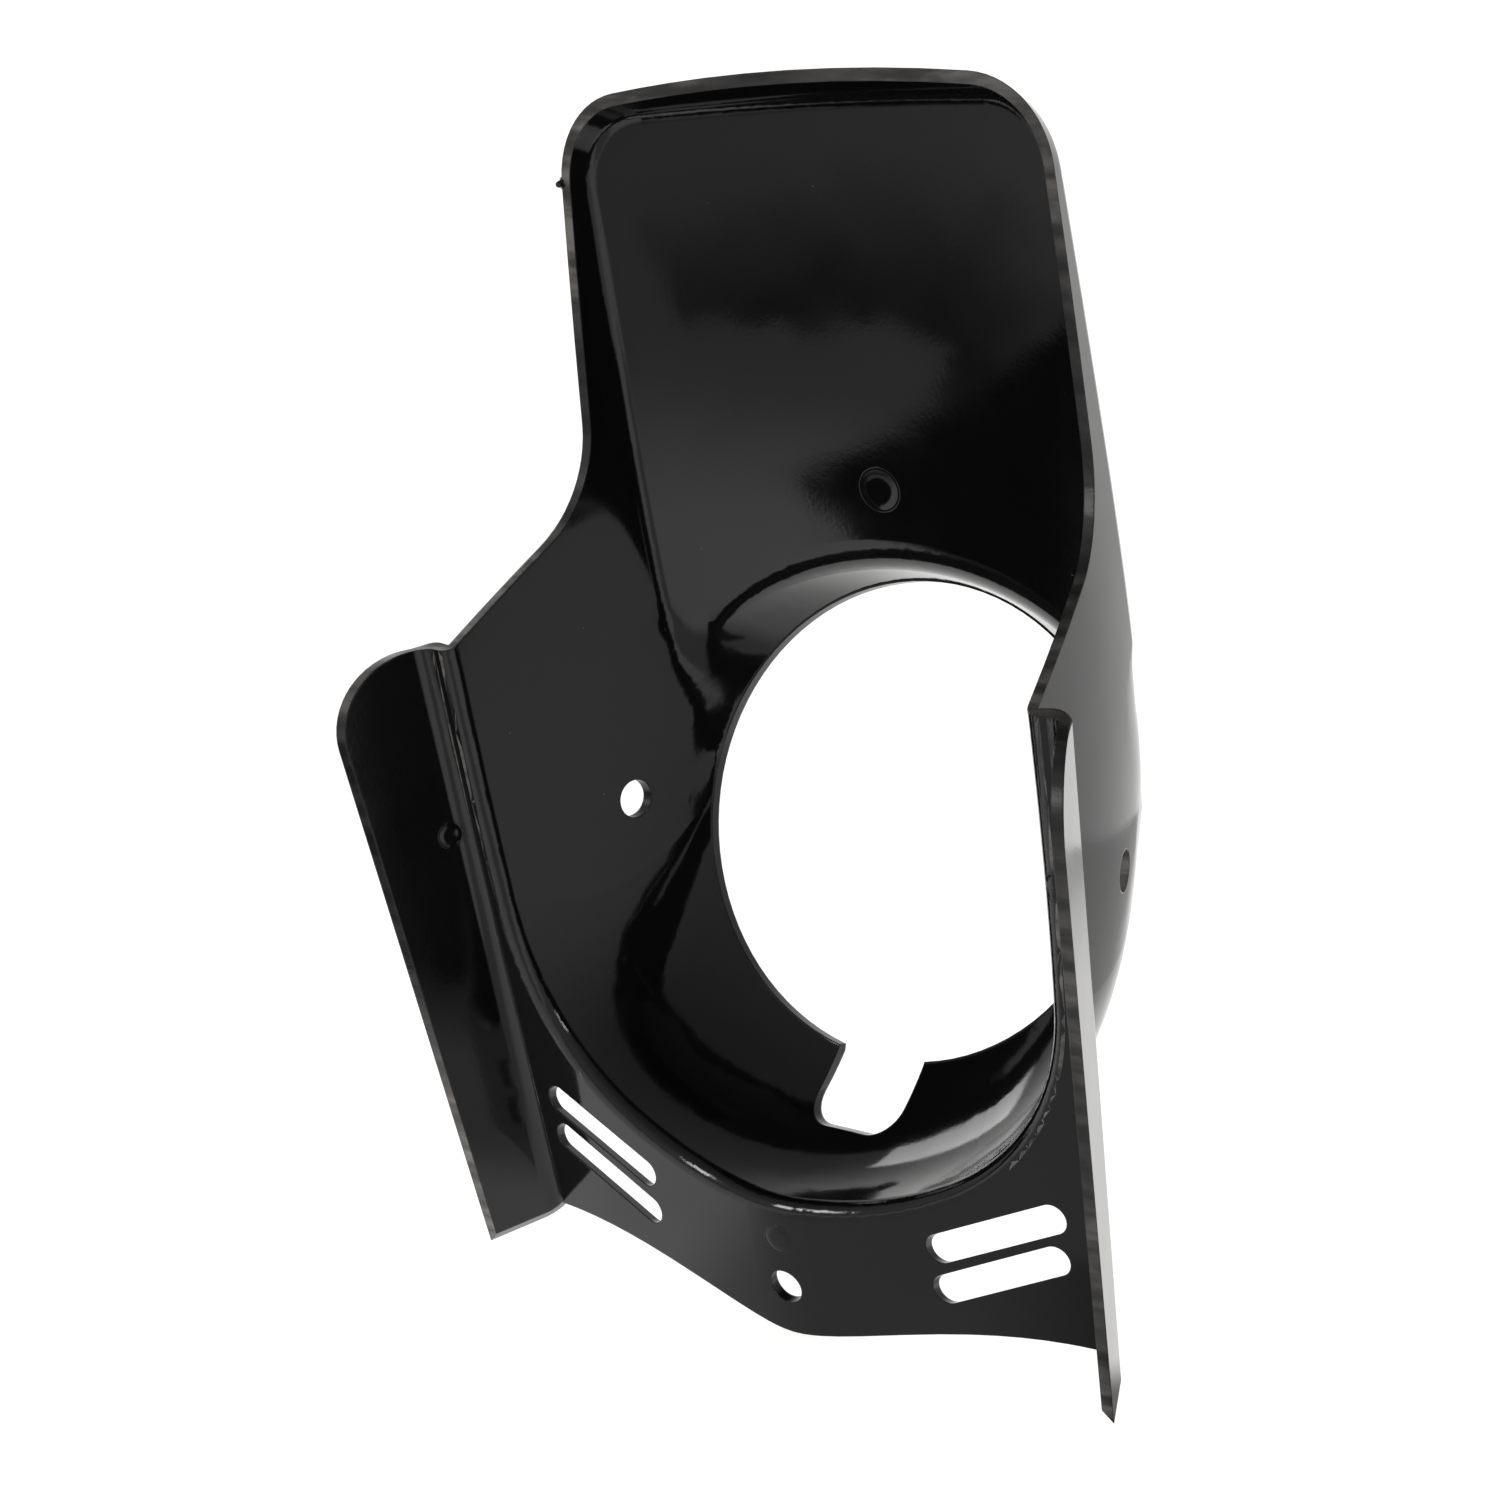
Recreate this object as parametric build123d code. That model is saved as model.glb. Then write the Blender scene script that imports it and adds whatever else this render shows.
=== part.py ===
from build123d import *
from math import atan2, cos, degrees, hypot, radians, sin, sqrt, tan
import os

# Headlight cowl of a small motorcycle, one injection moulding.
# Millimetres. The front faces -Y, +Z is up, and the origin is the centre of the
# headlight opening, in the plane of its front edge.

# Wall
WALL = 2.6                    # skin thickness all over

# Headlight opening and the bowl behind it, sizes inside the wall
OPENING_RADIUS = 60.0         # hole that the headlight rim fills
OPENING_LAND = 3.0            # straight edge of that hole, front to rear
OPENING_LIP = 0.4             # step behind that edge, where the bowl starts
FRONT_RING = 1.8              # flat ring round the hole, on the front
BOWL_STATIONS = (14.0, 46.0, 130.0)      # distances behind the front plane
BOWL_HALF_WIDTHS = (65.6, 73.5, 84.5)    # at those stations
BOWL_DEPTHS = (75.0, 91.0, 108.0)        # centre line to the bottom
BOWL_CORNER_ANGLE = 60.0      # where the bottom arc gives way to the corner arcs
SIDE_RADII = (540.0, 600.0, 760.0, 950.0)   # barrel of the sides, front to rear

# Collar: front of the bowl where it stands clear of the screen panel
COLLAR_RISE = (1.2, 4.5)      # its top above the opening's, at the first two stations
COLLAR_SPREAD = (5.3, 19.0)   # its sides past the bowl's, so that it runs out in them

# Number screen above the opening: a shallow tray, open to the rear
SCREEN_TOP = 160.6            # inside of the top wall at its middle
SCREEN_TOP_RADIUS = 450.0     # arch of the top wall
SCREEN_CORNER_RADIUS = 20.0   # upper corners, inside
PANEL_LEAN = 28.5             # the panel leans back by this angle
PANEL_POINT = (32.7, 79.1)    # Y and Z of its inside on the centre line
PANEL_BOW_RADIUS = 230.0      # it bows forward in plan
ARCH_RADIUS = 12.0            # round between panel and collar, inside
CREASE_RADIUS = 3.5           # round between panel and tray walls, inside

# Apron across the bottom and the ear plates at its ends, rear faces
APRON_REAR = 90.2             # Y on the centre line at Z = 0
APRON_RAKE = 25.6             # apron and ears lean forward at the bottom
APRON_VEE = 7.7               # each half of the apron falls away from the centre
APRON_BEND_RADIUS = 60.0
EAR_STRIP = 11.5              # bowl side to ear crease, at Z = 0
EAR_ROOT_TAPER = 0.035        # the creases draw together by this share of the drop
EAR_FLARE = 21.3              # angle of the ears from fore and aft
EAR_CREASE_RADIUS = 4.0
RIM_RADIUS = 3.5              # bead between bowl and apron, inside

# Rear edge, seen from the side, as Y and Z
EDGE_TOP = (94.0, 168.7)
EDGE_WAIST = (54.4, 71.6)
EDGE_SHOULDER = (91.5, 29.8)
EDGE_EAR_TOP = (115.0, 21.5)
EDGE_EAR_FOOT = (30.0, -137.6)
EDGE_WAIST_RADIUS = 30.0
EDGE_SHOULDER_RADIUS = 6.0
EDGE_EAR_RADIUS = 18.0

# Bottom edge, seen from the front
APRON_CORNER = -110.8         # Z where the apron's edge meets the ears
APRON_CORNER_INSET = 2.6      # that corner inside the crease
APRON_NOSE = -125.2           # Z of the lowest point, on the centre line
APRON_NOSE_REACH = 15.7       # how far out the edge stays level with that point
APRON_SHOULDER = 45.5         # X where the edge starts to fall towards it
EAR_FOOT_SLOPE = 0.95         # fall of the ear's foot for each millimetre outward

# Openings in the skin
SIDE_HOLE = (25.0, -3.0)      # Y and Z of the bolt holes through both sides
SIDE_HOLE_DIAMETER = 9.8
NOTCH_WIDTH = 25.0            # cable notch in the bottom of the opening
NOTCH_DEPTH = 17.0
NOTCH_REAR = 40.0             # the notch reaches back to this Y
NOTCH_CORNER = 7.0
SCREW_HOLE_HEIGHT = -113.5    # Z of the screw hole in the apron
SCREW_HOLE_DIAMETER = 8.8
SLOT_WIDTH = 6.9
SLOTS = (                     # X and Z of the ends of both slots of one side
    ((70.9, -80.8), (42.6, -94.0)),
    ((70.7, -90.8), (43.0, -104.0)),
)

# Reach of cutting and filling bodies past the part
FAR = 200.0
PANEL_REACH = 110.0           # half-width of the panel's cutter
EAR_REACH = 120.0             # the ears' filler, rearwards from the creases
FILLER_TOP = 70.0
FILLER_BOTTOM = -150.0

EAR_ROOT = BOWL_HALF_WIDTHS[1] + EAR_STRIP


def meet(c1, r1, c2, r2):
    """Centre at distance r1 from c1 and r2 from c2, left of the line between them."""
    dx, dy = c2[0] - c1[0], c2[1] - c1[1]
    d = hypot(dx, dy)
    along = (d * d + r1 * r1 - r2 * r2) / (2 * d)
    off = sqrt(r1 * r1 - along * along)
    return (c1[0] + (along * dx - off * dy) / d, c1[1] + (along * dy + off * dx) / d)


def arc(centre, radius, start, end):
    """Arc between two angles in degrees."""
    angles = [radians(a) for a in (start, (start + end) / 2, end)]
    points = [(centre[0] + radius * cos(a), centre[1] + radius * sin(a)) for a in angles]
    return Edge.make_three_point_arc(*points)


def across(y):
    """Plane square to Y, seen from the front, with Z up."""
    return Plane(origin=(0, y, 0), x_dir=(1, 0, 0), z_dir=(0, -1, 0))


def raked(z):
    """Plane square to the apron's rake, on its centre line at that height."""
    rake = radians(APRON_RAKE)
    origin = (0, APRON_REAR + z * tan(rake), z)
    return Plane(origin=origin, x_dir=(1, 0, 0), z_dir=(0, sin(rake), cos(rake)))


def nearest(shape, point):
    """Corner of a flat shape that lies nearest to a point."""
    return shape.vertices().sort_by(lambda v: hypot(v.X - point[0], v.Y - point[1]))[0]


def front(grow):
    """Y where the skin's outside or inside starts."""
    return 0.0 if grow else OPENING_LAND


def swell(values, grow):
    """Sizes of the skin's outside or inside, at the front and at the bowl's stations."""
    if not grow:
        return (OPENING_RADIUS + OPENING_LIP,) + tuple(values)
    ys = (OPENING_LAND,) + BOWL_STATIONS
    inner = (OPENING_RADIUS,) + tuple(values)
    outer = [OPENING_RADIUS + FRONT_RING]
    for i in range(1, len(inner)):
        ahead = min(i + 1, len(inner) - 1)
        slope = (inner[ahead] - inner[i - 1]) / (ys[ahead] - ys[i - 1])
        outer.append(inner[i] + grow * sqrt(1 + slope * slope))
    return tuple(outer)


def hood_section(y, half_width, depth, side, grow):
    """Outline across the hood: round bottom, barrel sides and an arched top."""
    share = cos(radians(BOWL_CORNER_ANGLE))
    corner = (half_width - depth * share) / (1 - share)
    drop = depth - corner
    corner_c = (drop * share, -drop * sin(radians(BOWL_CORNER_ANGLE)))
    side_c = (half_width - side, corner_c[1])
    top_c = (0.0, SCREEN_TOP + grow - SCREEN_TOP_RADIUS)
    upper = SCREEN_CORNER_RADIUS + grow
    upper_c = meet(side_c, side - upper, top_c, SCREEN_TOP_RADIUS - upper)
    side_end = degrees(atan2(upper_c[1] - side_c[1], upper_c[0] - side_c[0]))
    top_start = degrees(atan2(upper_c[1] - top_c[1], upper_c[0] - top_c[0]))
    right = [
        arc(corner_c, corner, -BOWL_CORNER_ANGLE, 0),
        arc(side_c, side, 0, side_end),
        arc(upper_c, upper, side_end, top_start),
    ]
    left = [e.mirror(Plane.YZ) for e in right]
    bottom = arc((0, 0), depth, BOWL_CORNER_ANGLE - 180, -BOWL_CORNER_ANGLE)
    roof = arc(top_c, SCREEN_TOP_RADIUS, top_start, 180 - top_start)
    return across(y) * Face(Wire([bottom] + right + [roof] + left))


def hood(grow):
    """Bowl and tray in one, with the tray still reaching the front plane."""
    ys = (front(grow),) + BOWL_STATIONS
    sizes = zip(ys, swell(BOWL_HALF_WIDTHS, grow), swell(BOWL_DEPTHS, grow), SIDE_RADII)
    return loft([hood_section(y, a, b, side, grow) for y, a, b, side in sizes])


def before_panel(grow):
    """Everything in front of the screen panel."""
    lean = radians(PANEL_LEAN)
    foot = Plane(
        origin=(0, PANEL_POINT[0] - FAR * sin(lean), PANEL_POINT[1] - FAR * cos(lean)),
        x_dir=(1, 0, 0),
        z_dir=(0, sin(lean), cos(lean)),
    )
    rise = PANEL_BOW_RADIUS - sqrt(PANEL_BOW_RADIUS ** 2 - PANEL_REACH ** 2)
    left, right = [(side * PANEL_REACH, rise - grow) for side in (-1, 1)]
    bow = Edge.make_three_point_arc(left, (0, -grow), right)
    box = Polyline(right, (PANEL_REACH, -FAR), (-PANEL_REACH, -FAR), left)
    return extrude(foot * Face(Wire([bow] + box.edges())), 2 * FAR, dir=foot.z_dir)


def collar(grow):
    """Front of the bowl as an oval plug, run on forward past the front plane."""
    ys = (front(grow),) + BOWL_STATIONS[:2]
    widths = swell([a + b for a, b in zip(BOWL_HALF_WIDTHS, COLLAR_SPREAD)], grow)
    heights = swell([OPENING_RADIUS + rise for rise in COLLAR_RISE], grow)
    rings = [(ys[0] - OPENING_RADIUS, widths[0], heights[0])]
    rings += zip(ys, widths, heights)
    ovals = []
    for y, half_width, height in rings:
        # The oval is drawn turned, so that the surface's seam lies underneath
        plane = Plane(origin=(0, y, 0), x_dir=(0, 0, -1), z_dir=(0, -1, 0))
        ovals.append(plane * Ellipse(height, half_width))
    return loft(ovals)


def relief(grow):
    """What is cut from the hood in front of the panel, round the collar."""
    block = before_panel(grow) - collar(grow)
    curved = block.edges().filter_by(GeomType.BSPLINE)
    arch = curved.filter_by(lambda e: e.center().Z > 0 and e.center().Y > -OPENING_RADIUS / 2)
    return fillet(arch, ARCH_RADIUS - grow)


def flange(grow):
    """Space behind the apron and between the ears."""
    faces = []
    for z in (FILLER_TOP, FILLER_BOTTOM):
        root = EAR_ROOT + EAR_ROOT_TAPER * z
        fall = root * tan(radians(APRON_VEE))
        ear = root + (EAR_REACH + fall) * tan(radians(EAR_FLARE))
        outline = Polyline(
            (0, 0), (root, -fall), (ear, EAR_REACH), (-ear, EAR_REACH), (-root, -fall), close=True
        )
        shape = make_face(outline.edges())
        if grow:
            shape = offset(shape, grow, kind=Kind.INTERSECTION)
        creases = shape.vertices().sort_by(Axis.Y)[:2]
        shape = fillet(creases, EAR_CREASE_RADIUS + grow)
        shape = fillet(nearest(shape, (0, 0)), APRON_BEND_RADIUS - grow)
        faces.append(raked(z) * shape)
    return loft(faces, ruled=True)


def skin_side(grow):
    """The moulding with its hollow filled, out to the skin's outside or inside."""
    full, cut = hood(grow), relief(grow)
    mass = full - cut
    edges = new_edges(full, cut, combined=mass)
    creases = edges.filter_by(lambda e: e.center().Y > front(grow) + 1)
    mass = fillet(creases, CREASE_RADIUS + grow)
    rear = flange(grow)
    joined = mass + rear
    if grow:
        return joined
    rim = new_edges(mass, rear, combined=joined).filter_by(GeomType.BSPLINE)
    return fillet(rim, RIM_RADIUS)


def side_profile():
    """Everything in front of the rear edge."""
    corners = (EDGE_TOP, EDGE_WAIST, EDGE_SHOULDER, EDGE_EAR_TOP, EDGE_EAR_FOOT)
    line = Polyline(*corners, (-FAR, EDGE_EAR_FOOT[1]), (-FAR, EDGE_TOP[1]), close=True)
    shape = make_face(line.edges())
    rounds = (EDGE_WAIST_RADIUS, EDGE_SHOULDER_RADIUS, EDGE_EAR_RADIUS)
    for corner, radius in zip(corners[1:4], rounds):
        shape = fillet(nearest(shape, corner), radius)
    side = Plane(origin=(0, 0, 0), x_dir=(0, 1, 0), z_dir=(1, 0, 0))
    return extrude(side * shape, FAR, both=True)


def front_outline():
    """Everything above the bottom edge of the apron and the ears."""
    x = EAR_ROOT + EAR_ROOT_TAPER * APRON_CORNER - APRON_CORNER_INSET
    z = APRON_CORNER
    foot = (FAR, z - (FAR - x) * EAR_FOOT_SLOPE)
    right = Bezier((x, z), (APRON_SHOULDER, z), (APRON_NOSE_REACH, APRON_NOSE), (0, APRON_NOSE))
    left = right.mirror(Plane.YZ)
    rest = Polyline((x, z), foot, (FAR, FAR), (-FAR, FAR), (-foot[0], foot[1]), (-x, z))
    shape = make_face(right.edges() + left.edges() + rest.edges())
    return extrude(across(0) * shape, FAR, both=True)


def openings():
    """Headlight opening, cable notch, bolt and screw holes, and slots."""
    y, z = SIDE_HOLE
    bolt = Rot(0, 90, 0) * Cylinder(SIDE_HOLE_DIAMETER / 2, FAR)
    screw = Rot(90, 0, 0) * Cylinder(SCREW_HOLE_DIAMETER / 2, 4 * WALL)
    notch = across(-WALL) * (
        Pos(0, -OPENING_RADIUS) * RectangleRounded(NOTCH_WIDTH, 2 * NOTCH_DEPTH, NOTCH_CORNER)
    )
    cuts = [
        Rot(90, 0, 0) * Cylinder(OPENING_RADIUS, FAR),
        Pos(0, y, z) * bolt,
        raked(SCREW_HOLE_HEIGHT) * screw,
        extrude(notch, NOTCH_REAR + WALL, dir=(0, 1, 0)),
    ]
    for (x1, z1), (x2, z2) in SLOTS:
        for side in (1, -1):
            length = hypot(x1 - x2, z1 - z2)
            turn = degrees(atan2(z1 - z2, x1 - x2)) * side
            slot = Pos(side * (x1 + x2) / 2, (z1 + z2) / 2) * Rot(0, 0, turn)
            slot = across(0) * (slot * SlotCenterToCenter(length, SLOT_WIDTH))
            cuts.append(extrude(slot, FAR, dir=(0, 1, 0)))
    return cuts


def cowl():
    skin = skin_side(WALL) - skin_side(0)
    skin = skin & side_profile()
    skin = skin & front_outline()
    for cut in openings():
        skin = skin - cut
    return skin


os.makedirs("parts", exist_ok=True)
export_step(cowl().solids()[0], "parts/cowl.step")
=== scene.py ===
import math

import bmesh
import bpy
import numpy as np
from mathutils import Matrix, Vector
from mathutils.bvhtree import BVHTree


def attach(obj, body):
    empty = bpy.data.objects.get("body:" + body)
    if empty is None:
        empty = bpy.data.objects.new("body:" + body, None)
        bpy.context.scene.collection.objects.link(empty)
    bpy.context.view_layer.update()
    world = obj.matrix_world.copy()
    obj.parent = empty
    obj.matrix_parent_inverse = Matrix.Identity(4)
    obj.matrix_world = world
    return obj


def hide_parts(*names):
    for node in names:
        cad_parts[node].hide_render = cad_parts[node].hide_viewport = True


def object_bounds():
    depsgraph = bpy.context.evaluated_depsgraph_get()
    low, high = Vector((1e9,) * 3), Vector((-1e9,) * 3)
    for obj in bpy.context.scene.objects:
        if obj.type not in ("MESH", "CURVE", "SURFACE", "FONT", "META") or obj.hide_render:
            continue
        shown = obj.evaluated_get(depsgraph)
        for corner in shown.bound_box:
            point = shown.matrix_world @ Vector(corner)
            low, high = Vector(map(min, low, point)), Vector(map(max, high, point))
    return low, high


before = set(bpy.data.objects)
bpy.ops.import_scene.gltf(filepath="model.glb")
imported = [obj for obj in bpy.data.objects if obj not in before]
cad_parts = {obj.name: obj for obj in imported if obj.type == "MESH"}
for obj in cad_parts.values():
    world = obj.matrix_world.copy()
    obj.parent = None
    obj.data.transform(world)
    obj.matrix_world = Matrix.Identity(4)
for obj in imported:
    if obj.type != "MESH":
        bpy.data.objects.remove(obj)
cad_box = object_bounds()

# Camera, from the photograph's fitted viewpoint
CAMERA_AT = (-0.3095, 0.5193, 0.0303)
CAMERA_RIGHT = (-0.8141, -0.5705, 0.1082)
CAMERA_UP = (0.1049, 0.0387, 0.9937)
LENS_MM = 57.72

right = Vector(CAMERA_RIGHT).normalized()
up = Vector(CAMERA_UP)
up = (up - right * up.dot(right)).normalized()
back = right.cross(up)
camera_data = bpy.data.cameras.new("camera")
camera_data.sensor_width = 36.0
camera_data.sensor_fit = "HORIZONTAL"
camera_data.lens = LENS_MM
camera_data.clip_start = 0.01
camera = bpy.data.objects.new("camera", camera_data)
turn = Matrix((right, up, back)).transposed().to_4x4()
camera.matrix_world = Matrix.Translation(CAMERA_AT) @ turn
bpy.context.scene.collection.objects.link(camera)
bpy.context.scene.camera = camera
bpy.context.scene.view_settings.view_transform = "Standard"

# World: brightest where the photograph's camera looks, dimmer around and above
ROOM_STRENGTH = (0.6, 0.22)
GLOW_STRENGTH = 0.55
GLOW_COSINES = (0.55, 0.9)
WARM_WHITE = (1.0, 0.995, 0.985, 1.0)
world = bpy.data.worlds.new("studio")
world.use_nodes = True
nodes, links = world.node_tree.nodes, world.node_tree.links
background = nodes["Background"]
background.inputs["Color"].default_value = WARM_WHITE


def dot_with(nodes, links, source, direction):
    node = nodes.new("ShaderNodeVectorMath")
    node.operation = "DOT_PRODUCT"
    node.inputs[1].default_value = direction
    links.new(source, node.inputs[0])
    return node.outputs["Value"]


def ramp(nodes, links, source, low, high, at_low, at_high):
    node = nodes.new("ShaderNodeMapRange")
    node.interpolation_type = "SMOOTHSTEP"
    node.inputs["From Min"].default_value = low
    node.inputs["From Max"].default_value = high
    node.inputs["To Min"].default_value = at_low
    node.inputs["To Max"].default_value = at_high
    links.new(source, node.inputs["Value"])
    return node.outputs["Result"]


def combine(nodes, links, operation, first, second):
    node = nodes.new("ShaderNodeMath")
    node.operation = operation
    for socket, value in zip(node.inputs, (first, second)):
        if isinstance(value, (int, float)):
            socket.default_value = value
        else:
            links.new(value, socket)
    return node.outputs["Value"]


direction = nodes.new("ShaderNodeTexCoord").outputs["Generated"]
room = ramp(nodes, links, dot_with(nodes, links, direction, (0, 0, 1)), 0.0, 1.0, *ROOM_STRENGTH)
glow = ramp(nodes, links, dot_with(nodes, links, direction, -back), *GLOW_COSINES, 0.0, GLOW_STRENGTH)
links.new(combine(nodes, links, "ADD", room, glow), background.inputs["Strength"])
bpy.context.scene.world = world


LIGHT_CENTRE = Vector((0, 0.04, 0))


def area_light(name, azimuth, elevation, size, radiance, distance=1.5, colour=(1.0, 1.0, 1.0)):
    """A softbox in that direction from the cowl: azimuth from +Y towards +X, in degrees."""
    turn, rise = math.radians(azimuth), math.radians(elevation)
    aim = Vector((math.cos(rise) * math.sin(turn), math.cos(rise) * math.cos(turn), math.sin(rise)))
    data = bpy.data.lights.new(name, "AREA")
    data.shape = "RECTANGLE"
    data.size, data.size_y = size
    data.energy = radiance * 4 * size[0] * size[1]
    data.color = colour
    light = bpy.data.objects.new(name, data)
    light.location = LIGHT_CENTRE + aim * distance
    light.rotation_euler = aim.to_track_quat("Z", "Y").to_euler()
    bpy.context.scene.collection.objects.link(light)


area_light("side_box", 102, 31, (0.7, 0.6), 2.6)
area_light("rear_box", 30, 14, (0.16, 0.3), 14.0)
area_light("rim_box", -68, 24, (0.13, 0.28), 15.0, colour=(1.0, 0.93, 0.9))


def new_material(name):
    material = bpy.data.materials.new(name)
    material.use_nodes = True
    nodes = material.node_tree.nodes
    return material, nodes, material.node_tree.links, nodes["Principled BSDF"]


# Floor: glows white as far as the camera sees, and beyond both sides of its view the glow is dimmed as
# painted shade for what the cowl reflects
FLOOR_SIZE = 12.0
FLOOR_GAP = 0.0005
FLOOR_GLOW = 0.9
FLOOR_SHADED_SIDES = ((-1, 0.10, 0.2), (1, 0.30, 0.4))
floor_z = cad_box[0][2] - FLOOR_GAP
floor_mat, nodes, links, shader = new_material("pale_floor")
shader.inputs["Base Color"].default_value = (0.5, 0.5, 0.5, 1.0)
shader.inputs["Roughness"].default_value = 1.0
shader.inputs["Specular IOR Level"].default_value = 0.0
shader.inputs["Emission Color"].default_value = WARM_WHITE
coords = nodes.new("ShaderNodeTexCoord").outputs["Object"]
half_view = math.atan(camera_data.sensor_width / 2 / LENS_MM)
heading = math.atan2(-back.x, -back.y)
shaded_sides = []
for sign, reach, shaded_glow in FLOOR_SHADED_SIDES:
    angle = heading + sign * half_view
    outward = Vector((math.cos(angle), -math.sin(angle), 0)) * sign
    offset = outward.dot(Vector(CAMERA_AT))
    sideways = dot_with(nodes, links, coords, outward)
    shaded_sides.append(ramp(nodes, links, sideways, offset, offset + reach, FLOOR_GLOW, shaded_glow))
# Painted shade: the floor's glow falls off towards both sides of the camera's view
links.new(combine(nodes, links, "MINIMUM", *shaded_sides), shader.inputs["Emission Strength"])
bpy.ops.mesh.primitive_plane_add(size=FLOOR_SIZE, location=(0, 0, floor_z))
floor = bpy.context.object
floor.name = "floor"
floor.data.materials.append(floor_mat)

# A dark flag flat on the floor beside the camera's view, which only reflections see: it paints dark,
# blotchy reflections on the cowl
FLAG_BOX = ((0.141, 0.10), (0.50, 0.50))
FLAG_HOLE = (0.14, 0.25)
FLAG_RADII = (0.11, 0.05)
FLAG_RISE = 0.0003
FLAG_REFLECTION_DARKNESS = 0.85
FLAG_NEAR = (0.212, 0.222)
reflection_flag_mat, nodes, links, shader = new_material("dark_reflection_flag")
nodes.remove(shader)
coords = nodes.new("ShaderNodeTexCoord").outputs["Object"]
waves = nodes.new("ShaderNodeTexNoise")
waves.inputs["Scale"].default_value = 30.0
waves.inputs["Detail"].default_value = 5.0
links.new(coords, waves.inputs["Vector"])
place = nodes.new("ShaderNodeMapping")
place.vector_type = "TEXTURE"
place.inputs["Location"].default_value = (FLAG_HOLE[0], FLAG_HOLE[1], 0)
place.inputs["Scale"].default_value = (FLAG_RADII[0], FLAG_RADII[1], 1)
links.new(coords, place.inputs["Vector"])
reach = nodes.new("ShaderNodeVectorMath")
reach.operation = "LENGTH"
links.new(place.outputs["Vector"], reach.inputs[0])
wavy = combine(nodes, links, "MULTIPLY_ADD", waves.outputs["Fac"], 1.0)
wavy.node.inputs[2].default_value = -0.5
radius = combine(nodes, links, "ADD", reach.outputs["Value"], wavy)
edge = ramp(nodes, links, radius, 0.97, 1.03, 0.0, FLAG_REFLECTION_DARKNESS)
fade = ramp(nodes, links, radius, 1.0, 3.0, 1.0, 0.0)
ring = combine(nodes, links, "MULTIPLY", edge, fade)
near = ramp(nodes, links, dot_with(nodes, links, coords, (0, 1, 0)), *FLAG_NEAR, 1.0, 0.0)
# Painted dark reflection: black in a wavy ring round a clear hole, and along the flag's low-y end
painted_dark_share = combine(nodes, links, "MAXIMUM", ring, near)


def lay_flag(name, corners, material, height):
    (x0, y0), (x1, y1) = corners
    mesh = bpy.data.meshes.new(name)
    mesh.from_pydata([(x0, y0, height), (x1, y0, height), (x1, y1, height), (x0, y1, height)],
                     [], [(0, 1, 2, 3)])
    flag = bpy.data.objects.new(name, mesh)
    flag.data.materials.append(material)
    flag.visible_camera = False
    flag.visible_diffuse = False
    flag.visible_shadow = False
    bpy.context.scene.collection.objects.link(flag)


def see_through(nodes, links, painted_dark_share):
    """Black where painted_dark_share is one and clear where it is nought; the black is painted shade that
    only reflections see.
    """
    clear = nodes.new("ShaderNodeBsdfTransparent")
    dark = nodes.new("ShaderNodeBsdfDiffuse")
    dark.inputs["Color"].default_value = (0.0, 0.0, 0.0, 1.0)
    mix = nodes.new("ShaderNodeMixShader")
    links.new(painted_dark_share, mix.inputs["Fac"])
    links.new(clear.outputs["BSDF"], mix.inputs[1])
    links.new(dark.outputs["BSDF"], mix.inputs[2])
    links.new(mix.outputs["Shader"], nodes["Material Output"].inputs["Surface"])


see_through(nodes, links, painted_dark_share)
lay_flag("side_reflection_flag", FLAG_BOX, reflection_flag_mat, floor_z + FLAG_RISE)

# A second flag under the cowl, which only reflections see, is a painted shadow of the cowl: it darkens what
# the apron and the ears reflect
UNDER_BOX = ((-0.45, -0.04), (0.06, 0.30))
EAR_PAINTED_SHADOW = 0.94
EAR_ACROSS = (-0.13, 0.055)
EAR_ALONG = (0.052, 0.068)
APRON_PAINTED_SHADOW = 0.5
APRON_LEFT = (-0.085, -0.068)
APRON_RIGHT = (0.015, 0.055)
shadow_flag_mat, nodes, links, shader = new_material("under_shadow_flag")
nodes.remove(shader)
coords = nodes.new("ShaderNodeTexCoord").outputs["Object"]
across = dot_with(nodes, links, coords, (1, 0, 0))
along = dot_with(nodes, links, coords, (0, 1, 0))
ear_side = ramp(nodes, links, across, *EAR_ACROSS, EAR_PAINTED_SHADOW, 0.0)
ear_end = ramp(nodes, links, along, *EAR_ALONG, 1.0, 0.0)
ear_part = combine(nodes, links, "MULTIPLY", ear_side, ear_end)
apron_side = ramp(nodes, links, across, *APRON_LEFT, 0.0, APRON_PAINTED_SHADOW)
apron_end = ramp(nodes, links, across, *APRON_RIGHT, 1.0, 0.0)
apron_part = combine(nodes, links, "MULTIPLY", apron_side, apron_end)
front = ramp(nodes, links, along, -0.04, 0.0, 0.0, 1.0)
painted_shadow_parts = combine(nodes, links, "MAXIMUM", ear_part, apron_part)
# Painted shadow: black beside the ears and under the apron, seen only in reflections
see_through(nodes, links, combine(nodes, links, "MULTIPLY", painted_shadow_parts, front))
lay_flag("under_shadow_flag", UNDER_BOX, shadow_flag_mat, floor_z + FLAG_RISE)

# Glossy black moulded plastic
BLACK = (0.0035, 0.0035, 0.004, 1.0)
BLADED = (0.17, 0.16, 0.15, 1.0)
DUSTY = (0.12, 0.115, 0.11, 1.0)
SKIN_ROUGHNESS = (0.06, 0.10)
TRIM_ROUGHNESS = 0.2
WORN_ROUGHNESS = 0.25
EDGE_ROUNDING = 0.0006
WAVE_HEIGHT = 0.0003
GRAIN_HEIGHT = 0.000006
BLADE_HEIGHT = 0.00012
plastic, nodes, links, shader = new_material("black_plastic")
shader.inputs["IOR"].default_value = 1.45
coords = nodes.new("ShaderNodeTexCoord").outputs["Object"]


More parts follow.
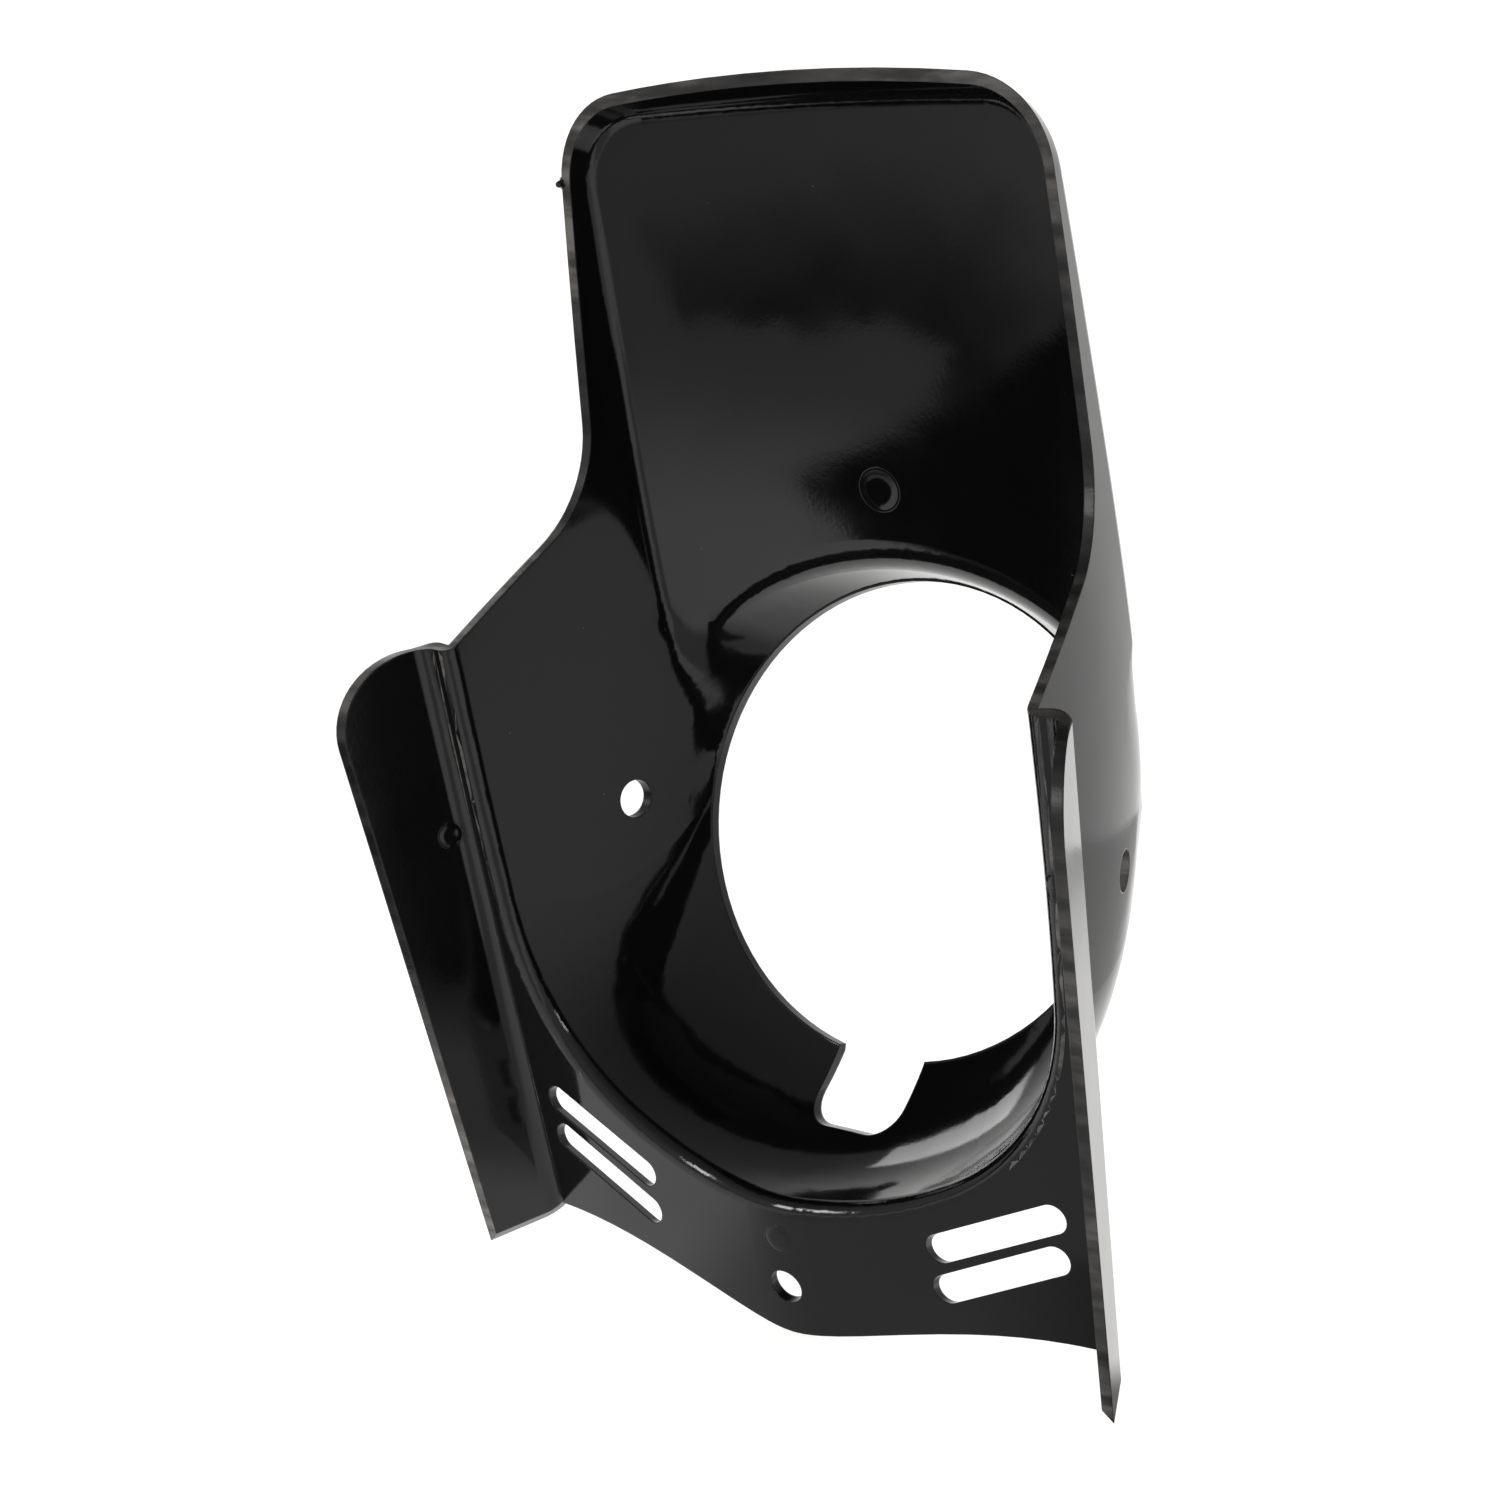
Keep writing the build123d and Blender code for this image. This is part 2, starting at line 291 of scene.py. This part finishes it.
def noise(scale, detail=2.0, roughness=0.5):
    node = nodes.new("ShaderNodeTexNoise")
    node.inputs["Scale"].default_value = scale
    node.inputs["Detail"].default_value = detail
    node.inputs["Roughness"].default_value = roughness
    links.new(coords, node.inputs["Vector"])
    return node.outputs["Fac"]


def bump(height, distance, below):
    node = nodes.new("ShaderNodeBump")
    node.inputs["Distance"].default_value = distance
    links.new(height, node.inputs["Height"])
    links.new(below, node.inputs["Normal"])
    return node.outputs["Normal"]


def stretched(scale, along):
    """Noise drawn out along one axis, for a brushed look."""
    place = nodes.new("ShaderNodeMapping")
    place.inputs["Scale"].default_value = along
    links.new(coords, place.inputs["Vector"])
    node = nodes.new("ShaderNodeTexNoise")
    node.inputs["Scale"].default_value = scale
    node.inputs["Detail"].default_value = 4.0
    links.new(place.outputs["Vector"], node.inputs["Vector"])
    return node.outputs["Fac"]


def mixed_colour(share, first, second):
    node = nodes.new("ShaderNodeMix")
    node.data_type = "RGBA"
    links.new(share, node.inputs["Factor"])
    for socket, value in zip((node.inputs[6], node.inputs[7]), (first, second)):
        if isinstance(value, tuple):
            socket.default_value = value
        else:
            links.new(value, socket)
    return node.outputs[2]


# Where the moulding was trimmed with a blade, paler and rougher in patches
trim = nodes.new("ShaderNodeAttribute")
trim.attribute_name = "trim"
patches = ramp(nodes, links, noise(11.0, 2.0), 0.40, 0.56, 0.1, 1.0)
brushed = ramp(nodes, links, stretched(260.0, (0.25, 1.0, 1.0)), 0.35, 0.7, 0.15, 1.0)
worn = combine(nodes, links, "MULTIPLY", patches, brushed)
worn = combine(nodes, links, "MULTIPLY", worn, trim.outputs["Fac"])
# Dust: a few pale specks about a third of a millimetre across
cells = nodes.new("ShaderNodeTexVoronoi")
cells.inputs["Scale"].default_value = 210.0
links.new(coords, cells.inputs["Vector"])
speck = ramp(nodes, links, cells.outputs["Distance"], 0.028, 0.045, 1.0, 0.0)
few = nodes.new("ShaderNodeSeparateColor")
links.new(cells.outputs["Color"], few.inputs["Color"])
chosen = ramp(nodes, links, few.outputs["Red"], 0.9, 0.92, 0.0, 1.0)
dust = combine(nodes, links, "MULTIPLY", speck, chosen)
colour = mixed_colour(worn, BLACK, BLADED)
links.new(mixed_colour(dust, colour, DUSTY), shader.inputs["Base Color"])
gloss = ramp(nodes, links, noise(60.0, 4.0), 0.3, 0.7, *SKIN_ROUGHNESS)
edge_gloss = combine(nodes, links, "MULTIPLY_ADD", trim.outputs["Fac"], TRIM_ROUGHNESS)
links.new(gloss, edge_gloss.node.inputs[2])
worn_gloss = combine(nodes, links, "MULTIPLY", worn, WORN_ROUGHNESS)
links.new(combine(nodes, links, "ADD", edge_gloss, worn_gloss), shader.inputs["Roughness"])
rounded = nodes.new("ShaderNodeBevel")
rounded.samples = 4
rounded.inputs["Radius"].default_value = EDGE_ROUNDING
wave = bump(noise(20.0, 2.0, 0.4), WAVE_HEIGHT, rounded.outputs["Normal"])
grain = bump(noise(900.0), GRAIN_HEIGHT, wave)
scored = combine(nodes, links, "MULTIPLY", stretched(420.0, (0.3, 1.0, 1.0)), trim.outputs["Fac"])
links.new(bump(scored, BLADE_HEIGHT, grain), shader.inputs["Normal"])


# The moulded skin: the CAD mesh with its crease below the screen's corner blended away
BLEND_LINE = ((64.5, 20.5, 36.5), (64.4, 18.0, 32.0), (63.3, 13.5, 24.5),
              (61.5, 8.0, 15.0), (60.2, 4.5, 9.0))
BLEND_REACH = 15.0
BLEND_PASSES = 160
BLEND_CORE = 0.35
NORMAL_SHARE = 4.0
SHARP_ANGLE = 40
EDGE_CLEAR = (3.2, 5.5)
CUT_PITCH = 1.5
SIDE_START = 58.0
CUT_POINT = (0.0, 94.0, 168.7)
CUT_NORMAL = (97.1, -39.6)
SIDE_FOOT = -0.13
MM = 0.001


def line_distance(points, line):
    """Least distance from each point to the line of points, on either side of the cowl."""
    best = np.full(len(points), 1e9)
    near = points.copy()
    near[:, 0] = np.abs(near[:, 0])
    for first, last in zip(line, line[1:]):
        first, last = np.array(first) * MM, np.array(last) * MM
        run = last - first
        part = np.clip((near - first) @ run / run.dot(run), 0.0, 1.0)
        best = np.minimum(best, np.linalg.norm(near - first - part[:, None] * run, axis=1))
    return best


def smooth_step(value, low, high):
    part = np.clip((value - low) / (high - low), 0.0, 1.0)
    return part * part * (3.0 - 2.0 * part)


def blend_weight(points):
    reach = smooth_step(line_distance(points, BLEND_LINE), BLEND_REACH * MM, BLEND_REACH * MM * BLEND_CORE)
    return reach * smooth_step(points[:, 1], EDGE_CLEAR[0] * MM, EDGE_CLEAR[1] * MM)


def cut_region(bm):
    """Cuts the faces round the crease on an even grid, so that they can bend."""
    line = np.array(BLEND_LINE)
    low, high = (line.min(0) - BLEND_REACH) * MM, (line.max(0) + BLEND_REACH) * MM
    for axis in (1, 2):
        normal = Vector((0, 0, 0))
        normal[axis] = 1.0
        for at in np.arange(max(low[axis], EDGE_CLEAR[0] * MM), high[axis], CUT_PITCH * MM):
            faces = []
            for face in bm.faces:
                corners = [vert.co for vert in face.verts]
                outer = max(abs(co.x) for co in corners)
                if outer < low[0] or min(abs(co.x) for co in corners) > high[0]:
                    continue
                if all(min(co[k] for co in corners) < high[k] and max(co[k] for co in corners) > low[k]
                       for k in (1, 2)):
                    faces.append(face)
            parts = set(faces)
            for face in faces:
                parts.update(face.edges)
                parts.update(face.verts)
            spot = Vector((0, 0, 0))
            spot[axis] = at
            bmesh.ops.bisect_plane(bm, geom=list(parts), dist=2e-5, plane_co=spot, plane_no=normal)
    bmesh.ops.triangulate(bm, faces=[face for face in bm.faces if len(face.verts) > 3])


def relax(points, pairs, weight, passes):
    """Moves points towards the mean of their neighbours, by weight."""
    first, last = pairs[:, 0], pairs[:, 1]
    count = np.maximum(np.bincount(pairs.ravel(), minlength=len(points)), 1)[:, None]
    for _ in range(passes):
        total = np.zeros_like(points)
        np.add.at(total, first, points[last])
        np.add.at(total, last, points[first])
        points = points + 0.5 * weight[:, None] * (total / count - points)
    return points


def mark_trimmed(mesh):
    """Marks the trimmed faces of the outline, and by the same test some of the rim bead's."""
    marks = mesh.attributes.new("trim", "FLOAT", "FACE")
    across = Vector((0, *CUT_NORMAL)).normalized()
    for face, mark in zip(mesh.polygons, marks.data):
        flat = abs(face.normal.x) < 0.03
        side = abs(face.center.x) > SIDE_START * MM and face.center.z > SIDE_FOOT
        on_cut = abs((face.center - Vector(CUT_POINT) * MM).dot(across)) < 0.3 * MM
        top = on_cut and face.normal.dot(across) > 0.99
        mark.value = 1.0 if flat and side or top else 0.0


def make_skin(node):
    """Copies the node's mesh and blends the crease, with the first normals kept elsewhere."""
    mesh = node.data.copy()
    mesh.name = "cowl_skin"
    kept = mesh.attributes.new("cad_normal", "FLOAT_VECTOR", "CORNER")
    normals = np.zeros(len(mesh.loops) * 3, np.float32)
    mesh.corner_normals.foreach_get("vector", normals)
    kept.data.foreach_set("vector", normals)
    bm = bmesh.new()
    bm.from_mesh(mesh)
    bmesh.ops.remove_doubles(bm, verts=bm.verts, dist=1e-6)
    cut_region(bm)
    for face in bm.faces:
        face.smooth = True
    bm.to_mesh(mesh)
    bm.free()
    points = np.zeros(len(mesh.vertices) * 3)
    mesh.vertices.foreach_get("co", points)
    points = points.reshape(-1, 3)
    pairs = np.zeros(len(mesh.edges) * 2, np.int32)
    mesh.edges.foreach_get("vertices", pairs)
    pairs = pairs.reshape(-1, 2)
    weight = blend_weight(points)
    close = weight > 0
    used = close[pairs].any(axis=1)
    points = relax(points, pairs[used], weight, BLEND_PASSES)
    mesh.vertices.foreach_set("co", points.ravel())
    if "custom_normal" in mesh.attributes:
        mesh.attributes.remove(mesh.attributes["custom_normal"])
    mesh.update()
    mesh.set_sharp_from_angle(angle=math.radians(SHARP_ANGLE))
    kept = mesh.attributes["cad_normal"]
    old = np.zeros(len(mesh.loops) * 3, np.float32)
    kept.data.foreach_get("vector", old)
    new = np.zeros_like(old)
    mesh.corner_normals.foreach_get("vector", new)
    corners = np.zeros(len(mesh.loops), np.int32)
    mesh.loops.foreach_get("vertex_index", corners)
    share = np.clip(weight[corners] * NORMAL_SHARE, 0.0, 1.0)[:, None]
    mixed = old.reshape(-1, 3) * (1.0 - share) + new.reshape(-1, 3) * share
    mixed /= np.linalg.norm(mixed, axis=1)[:, None]
    mesh.attributes.remove(kept)
    mesh.normals_split_custom_set(mixed.tolist())
    mark_trimmed(mesh)
    skin = bpy.data.objects.new("cowl_skin", mesh)
    bpy.context.scene.collection.objects.link(skin)
    return skin


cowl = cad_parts["cowl"]
skin = make_skin(cowl)
for piece in (cowl, skin):
    for material_slot in piece.material_slots:
        material_slot.material = plastic
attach(skin, "root")
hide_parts("cowl")

# Round marks of the mould's ejector pins, and a nib of flash on the rim
skin_tree = BVHTree.FromPolygons([vert.co for vert in skin.data.vertices],
                                 [face.vertices for face in skin.data.polygons])
PIN_PROFILE = ((0.0, 0.06), (0.5, 0.06), (0.86, 0.06), (0.9, -0.03),
               (0.94, -0.03), (0.97, 0.10), (1.0, 0.10), (1.03, -0.2))
PIN_STEPS = 56
NIB_STEPS = 16
NIB_PROFILE = ((1.5, -0.4), (1.1, 0.0), (0.8, 0.6), (0.75, 1.4), (0.45, 1.75), (0.0, 1.85))
PINS = (("pin_mark_screen", (0.0, 32.9, 79.0), 5.8),
        ("pin_mark_apron", (0.0, 41.0, -100.9), 4.0),
        ("pin_mark_left_ear", (81.0, 77.0, -16.0), 3.5),
        ("pin_mark_right_ear", (-80.5, 77.0, -6.0), 3.5))


def turned(name, spot, profile, steps, follow):
    """A round piece on the skin: profile gives radius and height in mm, and follow keeps it on the skin."""
    centre, normal = skin_tree.find_nearest(Vector(spot) * MM)[:2]
    first = normal.orthogonal().normalized()
    second = normal.cross(first)
    bm = bmesh.new()
    rings = []
    for radius, height in profile:
        ring = []
        for step in range(steps if radius > 0 else 1):
            angle = math.tau * step / steps
            out = (first * math.cos(angle) + second * math.sin(angle)) * radius * MM
            base = skin_tree.find_nearest(centre + out)[0] if follow else centre + out
            ring.append(bm.verts.new(base + normal * height * MM))
        rings.append(ring)
    for inner, outer in zip(rings, rings[1:]):
        for step in range(steps):
            following = (step + 1) % steps
            corners = [inner[step % len(inner)], outer[step % len(outer)],
                       outer[following % len(outer)], inner[following % len(inner)]]
            bm.faces.new(list(dict.fromkeys(corners)))
    bmesh.ops.recalc_face_normals(bm, faces=bm.faces)
    for face in bm.faces:
        face.smooth = True
    mesh = bpy.data.meshes.new(name)
    bm.to_mesh(mesh)
    bm.free()
    piece = bpy.data.objects.new(name, mesh)
    piece.data.materials.append(plastic)
    bpy.context.scene.collection.objects.link(piece)
    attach(piece, "root")


for name, spot, radius in PINS:
    turned(name, spot, [(part * radius, height) for part, height in PIN_PROFILE],
           PIN_STEPS, True)
turned("rim_nib", (72.0, 82.6, 143.5), NIB_PROFILE, NIB_STEPS, False)
